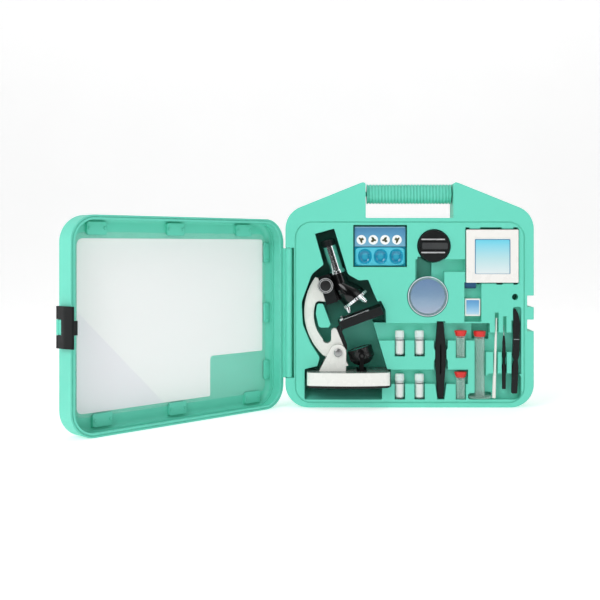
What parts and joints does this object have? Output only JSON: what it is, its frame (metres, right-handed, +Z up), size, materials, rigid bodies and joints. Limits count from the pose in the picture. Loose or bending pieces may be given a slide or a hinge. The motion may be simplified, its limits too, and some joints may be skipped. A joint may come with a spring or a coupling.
{
  "type": "kids microscope",
  "caption": "Toy microscope held in the moulded pockets of a hinged carry case, with sample tubes, vials, tweezers, dishes, boxes and tools.",
  "frame": {"origin": "centre of the face that the case stands on, midway across its width and depth", "axes": "+Z up; the open case's tray faces -Y; +X is to the right when facing the tray, away from the lid's hinge"},
  "size_m": [0.5198, 0.268, 0.272],
  "materials": {
    "base_rear_shell": "moulded satin mint",
    "tray_panel": "moulded satin mint, deeper green in its pockets",
    "base_screws": "zinc-plated",
    "hinge_pin": "drawn wire",
    "handle_shaft": "moulded",
    "handle_grip": "satin, ribbed",
    "lid_shell": "moulded satin mint",
    "lid_card": "coated white card with a pale grey corner",
    "lid_window": "clear moulded sheet",
    "latch": "black, satin",
    "latch_pin": "drawn wire",
    "foot_casting": "ivory enamel, satin",
    "foot_pad": "black, matt",
    "tilt_bolt": "polished",
    "arm": "ivory enamel, satin",
    "focus_housing": "black, satin",
    "focus_knobs": "bright ring with a black centre",
    "focus_pinion": "turned",
    "focus_rack": "black",
    "tube_head": "black, glossy",
    "draw_tube": "polished",
    "eyepiece": "black, satin",
    "eye_lens": "clear",
    "turret": "polished, scalloped rim",
    "objective_short": "polished",
    "objective_medium": "polished",
    "objective_long": "polished",
    "objective_lenses": "clear",
    "stage": "black, satin",
    "clip_near": "sprung strip",
    "clip_far": "sprung strip",
    "clip_screws": "domed",
    "mirror_yoke": "black, satin",
    "mirror_drum": "black, faceted",
    "mirror_glass": "silvered",
    "slide_box_tray": "white",
    "slide_box_lid": "white frame round a cyan label",
    "specimen_box": "white with a steel-blue label",
    "specimen_wells": "tinted cyan, translucent",
    "slicer_body": "black, satin",
    "slicer_rails": "polished",
    "petri_dish": "clear",
    "petri_lid": "clear over a printed label",
    "cover_box": "white",
    "vial_1": "white cap and label",
    "vial_2": "white cap and label",
    "vial_3": "white cap and label",
    "vial_4": "white cap and label",
    "tweezers_rear": "black",
    "tweezers_front": "black",
    "sample_tube_1": "clear plastic",
    "sample_tube_cap_1": "red",
    "sample_tube_2": "clear plastic",
    "sample_tube_cap_2": "red",
    "cylinder": "clear plastic",
    "cylinder_cap": "red",
    "stir_rod": "white",
    "needle_handle": "black",
    "needle_point": "bright",
    "scalpel": "black"
  },
  "bodies": {
    "base": {"base_rear_shell": "base_rear_shell", "tray_panel": "tray_panel", "base_screws": "base_screws", "handle_shaft": "handle_shaft", "hinge_pin": "hinge_pin"},
    "handle": {"handle_grip": "handle_grip"},
    "lid": {"lid_shell": "lid_shell", "lid_card": "lid_card", "lid_window": "lid_window"},
    "latch": {"latch": "latch", "latch_pin": "latch_pin"},
    "scope": {"foot_casting": "foot_casting", "foot_pad": "foot_pad", "tilt_bolt": "tilt_bolt", "mirror_yoke": "mirror_yoke"},
    "limb": {"arm": "arm", "focus_housing": "focus_housing", "stage": "stage", "clip_screws": "clip_screws"},
    "focus_drive": {"focus_knobs": "focus_knobs", "focus_pinion": "focus_pinion"},
    "tube": {"tube_head": "tube_head", "focus_rack": "focus_rack", "draw_tube": "draw_tube"},
    "eyepiece": {"eyepiece": "eyepiece", "eye_lens": "eye_lens"},
    "turret": {"turret": "turret", "objective_short": "objective_short", "objective_medium": "objective_medium", "objective_long": "objective_long", "objective_lenses": "objective_lenses"},
    "mirror": {"mirror_drum": "mirror_drum", "mirror_glass": "mirror_glass"},
    "clip_near": {"clip_near": "clip_near"},
    "clip_far": {"clip_far": "clip_far"},
    "slide_box": {"slide_box_tray": "slide_box_tray"},
    "slide_box_lid": {"slide_box_lid": "slide_box_lid"},
    "specimens": {"specimen_box": "specimen_box", "specimen_wells": "specimen_wells"},
    "slicer": {"slicer_body": "slicer_body", "slicer_rails": "slicer_rails"},
    "petri_dish": {"petri_dish": "petri_dish"},
    "petri_lid": {"petri_lid": "petri_lid"},
    "cover_box": {"cover_box": "cover_box"},
    "vial_1": {"vial_1": "vial_1"},
    "vial_2": {"vial_2": "vial_2"},
    "vial_3": {"vial_3": "vial_3"},
    "vial_4": {"vial_4": "vial_4"},
    "tweezers": {"tweezers_rear": "tweezers_rear"},
    "tweezers_leaf": {"tweezers_front": "tweezers_front"},
    "sample_tube_1": {"sample_tube_1": "sample_tube_1"},
    "sample_cap_1": {"sample_tube_cap_1": "sample_tube_cap_1"},
    "sample_tube_2": {"sample_tube_2": "sample_tube_2"},
    "sample_cap_2": {"sample_tube_cap_2": "sample_tube_cap_2"},
    "cylinder": {"cylinder": "cylinder"},
    "cylinder_cap": {"cylinder_cap": "cylinder_cap"},
    "stir_rod": {"stir_rod": "stir_rod"},
    "needle": {"needle_handle": "needle_handle", "needle_point": "needle_point"},
    "scalpel": {"scalpel": "scalpel"}
  },
  "joints": [
    {"name": "handle_spin", "type": "hinge", "parent": "base", "child": "handle", "pos_m": [0, -0.008, 0.2586], "axis": [1, 0, 0], "continuous": true},
    {"name": "lid_hinge", "type": "hinge", "parent": "base", "child": "lid", "pos_m": [-0.146, -0.0225, 0.1], "axis": [0, 0, -1], "range_deg": [-133.4, 46.6]},
    {"name": "latch_hinge", "type": "hinge", "parent": "lid", "child": "latch", "pos_m": [-0.36704, -0.22582, 0.1136], "axis": [0, 0, -1], "range_deg": [0, 100]},
    {"name": "scope_lift", "type": "slide", "parent": "base", "child": "scope", "axis": [0, -1, 0], "range_m": [0, 0.06]},
    {"name": "arm_tilt", "type": "hinge", "parent": "scope", "child": "limb", "pos_m": [-0.0865, -0.0125, 0.0661], "axis": [0, -1, 0], "range_deg": [-1, 1]},
    {"name": "focus_turn", "type": "hinge", "parent": "limb", "child": "focus_drive", "pos_m": [-0.10149, -0.0125, 0.14718], "axis": [0, -1, 0], "range_deg": [-22, 72]},
    {"name": "tube_slide", "type": "slide", "parent": "limb", "child": "tube", "axis": [-0.2974, 0, 0.9548], "range_m": [-0.0015, 0.005]},
    {"name": "eyepiece_pull", "type": "slide", "parent": "tube", "child": "eyepiece", "axis": [-0.2974, 0, 0.9548], "range_m": [0, 0.005]},
    {"name": "turret_spin", "type": "hinge", "parent": "tube", "child": "turret", "pos_m": [-0.0664, -0.0125, 0.1315], "axis": [-0.6239, 0, 0.7815], "continuous": true},
    {"name": "mirror_tilt", "type": "hinge", "parent": "scope", "child": "mirror", "pos_m": [-0.0578, -0.0125, 0.0626], "axis": [0, -1, 0], "range_deg": [-100, 100]},
    {"name": "clip_near_swivel", "type": "hinge", "parent": "limb", "child": "clip_near", "pos_m": [-0.08172, -0.0345, 0.10555], "axis": [-0.3502, 0, 0.9367], "range_deg": [-15, 30]},
    {"name": "clip_far_swivel", "type": "hinge", "parent": "limb", "child": "clip_far", "pos_m": [-0.08172, 0.0095, 0.10555], "axis": [0.3502, 0, -0.9367], "range_deg": [-15, 30]},
    {"name": "slide_box_lift", "type": "slide", "parent": "base", "child": "slide_box", "axis": [0, -1, 0], "range_m": [0, 0.04]},
    {"name": "slide_box_lid_lift", "type": "slide", "parent": "slide_box", "child": "slide_box_lid", "axis": [0, -1, 0], "range_m": [0, 0.03]},
    {"name": "specimens_lift", "type": "slide", "parent": "base", "child": "specimens", "axis": [0, -1, 0], "range_m": [0, 0.04]},
    {"name": "slicer_lift", "type": "slide", "parent": "base", "child": "slicer", "axis": [0, -1, 0], "range_m": [0, 0.04]},
    {"name": "petri_lift", "type": "slide", "parent": "base", "child": "petri_dish", "axis": [0, -1, 0], "range_m": [0, 0.04]},
    {"name": "petri_lid_lift", "type": "slide", "parent": "petri_dish", "child": "petri_lid", "axis": [0, -1, 0], "range_m": [0, 0.02]},
    {"name": "cover_box_lift", "type": "slide", "parent": "base", "child": "cover_box", "axis": [0, -1, 0], "range_m": [0, 0.04]},
    {"name": "vial_1_lift", "type": "slide", "parent": "base", "child": "vial_1", "axis": [0, -1, 0], "range_m": [0, 0.04]},
    {"name": "vial_2_lift", "type": "slide", "parent": "base", "child": "vial_2", "axis": [0, -1, 0], "range_m": [0, 0.04]},
    {"name": "vial_3_lift", "type": "slide", "parent": "base", "child": "vial_3", "axis": [0, -1, 0], "range_m": [0, 0.04]},
    {"name": "vial_4_lift", "type": "slide", "parent": "base", "child": "vial_4", "axis": [0, -1, 0], "range_m": [0, 0.04]},
    {"name": "tweezers_lift", "type": "slide", "parent": "base", "child": "tweezers", "axis": [0, -1, 0], "range_m": [0, 0.04]},
    {"name": "tweezers_squeeze", "type": "hinge", "parent": "tweezers", "child": "tweezers_leaf", "pos_m": [0.0378, -0.0222, 0.094], "axis": [1, 0, 0], "range_deg": [0, 2.6], "stiffness_Nm_per_rad": 0.5},
    {"name": "sample_tube_1_lift", "type": "slide", "parent": "base", "child": "sample_tube_1", "axis": [0, -1, 0], "range_m": [0, 0.04]},
    {"name": "sample_cap_1_pull", "type": "slide", "parent": "sample_tube_1", "child": "sample_cap_1", "axis": [0, 0, 1], "range_m": [0, 0.006]},
    {"name": "sample_tube_2_lift", "type": "slide", "parent": "base", "child": "sample_tube_2", "axis": [0, -1, 0], "range_m": [0, 0.04]},
    {"name": "sample_cap_2_pull", "type": "slide", "parent": "sample_tube_2", "child": "sample_cap_2", "axis": [0, 0, 1], "range_m": [0, 0.0024]},
    {"name": "cylinder_lift", "type": "slide", "parent": "base", "child": "cylinder", "axis": [0, -1, 0], "range_m": [0, 0.04]},
    {"name": "cylinder_cap_pull", "type": "slide", "parent": "cylinder", "child": "cylinder_cap", "axis": [0, 0, 1], "range_m": [0, 0.008]},
    {"name": "stir_rod_lift", "type": "slide", "parent": "base", "child": "stir_rod", "axis": [0, -1, 0], "range_m": [0, 0.04]},
    {"name": "needle_lift", "type": "slide", "parent": "base", "child": "needle", "axis": [0, -1, 0], "range_m": [0, 0.04]},
    {"name": "scalpel_lift", "type": "slide", "parent": "base", "child": "scalpel", "axis": [0, -1, 0], "range_m": [0, 0.04]}
  ],
  "couplings": [
    {"joint": "focus_turn", "follows": "tube_slide", "rad_per_m": 250}
  ]
}
